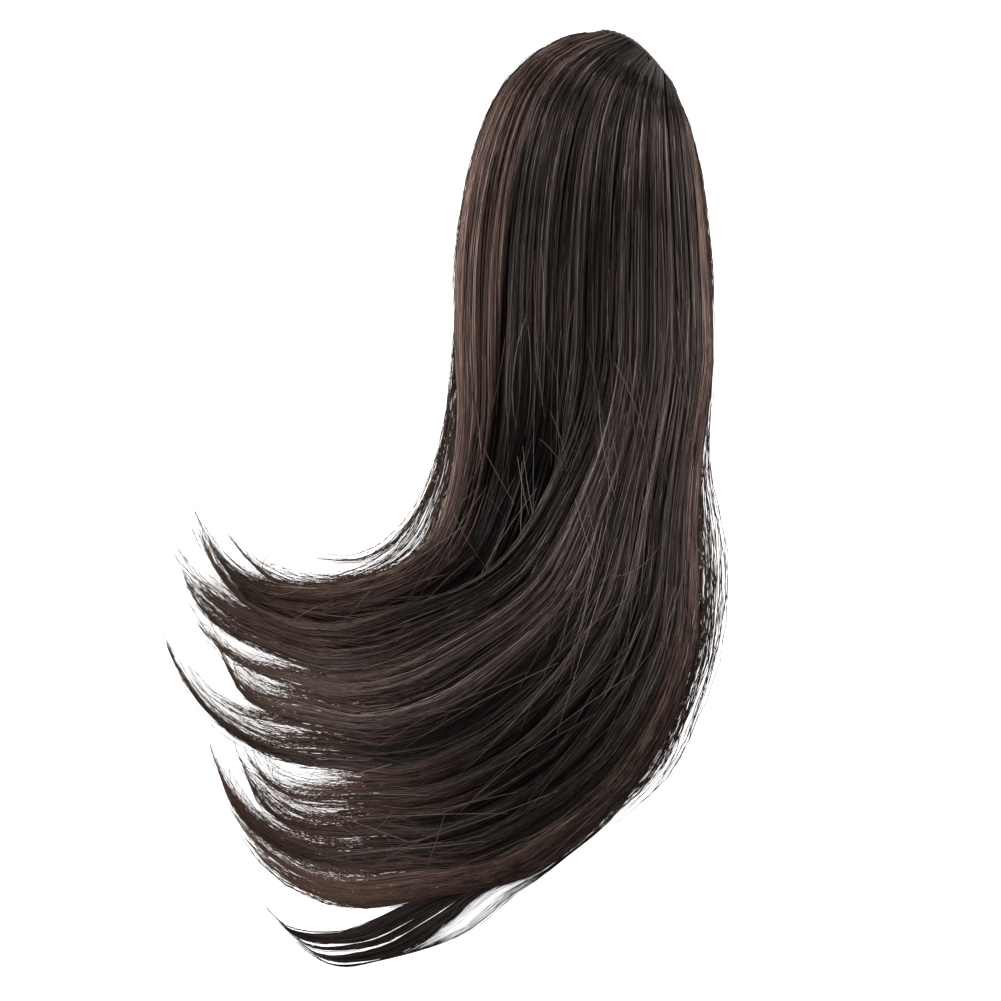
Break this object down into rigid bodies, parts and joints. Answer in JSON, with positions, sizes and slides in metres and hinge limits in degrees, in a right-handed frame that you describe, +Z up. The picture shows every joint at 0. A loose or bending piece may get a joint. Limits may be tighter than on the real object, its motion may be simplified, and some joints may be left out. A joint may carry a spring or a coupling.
{
  "type": "claw-clip ponytail hairpiece",
  "caption": "Long dark ponytail hairpiece lying flat: a domed crown over a claw clip, and a smooth fall of hair swept to one side that ends in pointed locks.",
  "frame": {"origin": "centre of the base of the overall box, on the surface that the hairpiece lies on", "axes": "+Y along the long side towards the crown, +X to the right seen from above, +Z up"},
  "size_m": [0.2677, 0.4628, 0.0584],
  "materials": {
    "dark_hair": "silky synthetic hair",
    "under_hair": "silky synthetic hair",
    "reddish_hair": "silky synthetic hair",
    "clip_plastic": "satin"
  },
  "bodies": {
    "root": {"claw_clip": "clip_plastic", "outer_weft": "dark_hair", "inner_weft": "under_hair", "left_lock": "reddish_hair", "sweep_lock": "dark_hair"}
  },
  "joints": []
}
